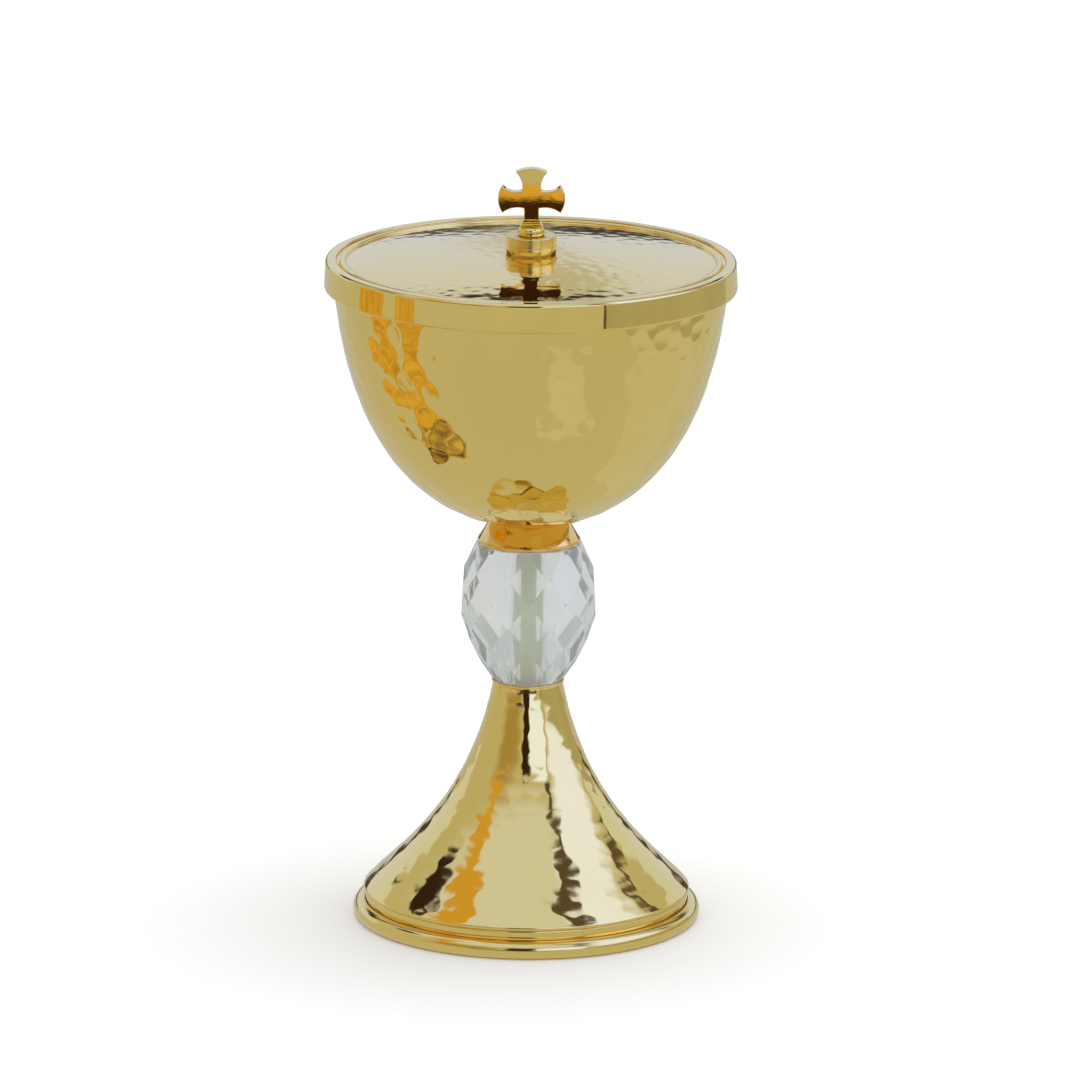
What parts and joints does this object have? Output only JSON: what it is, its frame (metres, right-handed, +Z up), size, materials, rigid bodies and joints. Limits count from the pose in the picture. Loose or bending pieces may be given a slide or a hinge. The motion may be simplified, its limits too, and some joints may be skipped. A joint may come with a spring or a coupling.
{
  "type": "ciborium",
  "caption": "Covered ciborium: hammered gilt cup on a cut crystal node and flared foot, with a lift-off domed lid topped by a flared cross.",
  "frame": {"origin": "centre of the foot's underside, on the table", "axes": "+Z up along the vessel's axis, towards the cross; -Y is the front, which the cross faces; +X to the right"},
  "size_m": [0.1198, 0.1198, 0.2234],
  "materials": {
    "gilt_polished": "mirror polished gold plate on brass",
    "gilt_hammered": "hammered and polished gold plate on brass",
    "crystal": "cut and polished clear crystal",
    "sleeve": "pale translucent plastic",
    "pad": "thin pale rubber",
    "steel": "plain steel"
  },
  "bodies": {
    "vessel": {"foot_bead": "gilt_polished", "foot_band": "gilt_polished", "foot_cone": "gilt_hammered", "neck_seat": "gilt_polished", "lower_gasket": "pad", "crystal_node": "crystal", "rod_sleeve": "sleeve", "upper_gasket": "pad", "stem_collar": "gilt_polished", "cup_boss": "gilt_polished", "cup_bowl": "gilt_hammered", "tie_rod": "steel", "clamp_washer": "steel", "spring_washer": "steel", "clamp_nut": "steel"},
    "lid": {"lid_band": "gilt_polished", "lid_plate": "gilt_hammered", "knob_base": "gilt_polished", "knob_cap": "gilt_polished", "cross": "gilt_polished", "knob_stud": "steel", "lid_washer": "gilt_polished", "lid_nut": "gilt_polished"}
  },
  "joints": [
    {"name": "lid_lift", "type": "slide", "parent": "vessel", "child": "lid", "axis": [0, 0, 1], "range_m": [0, 0.12]}
  ]
}
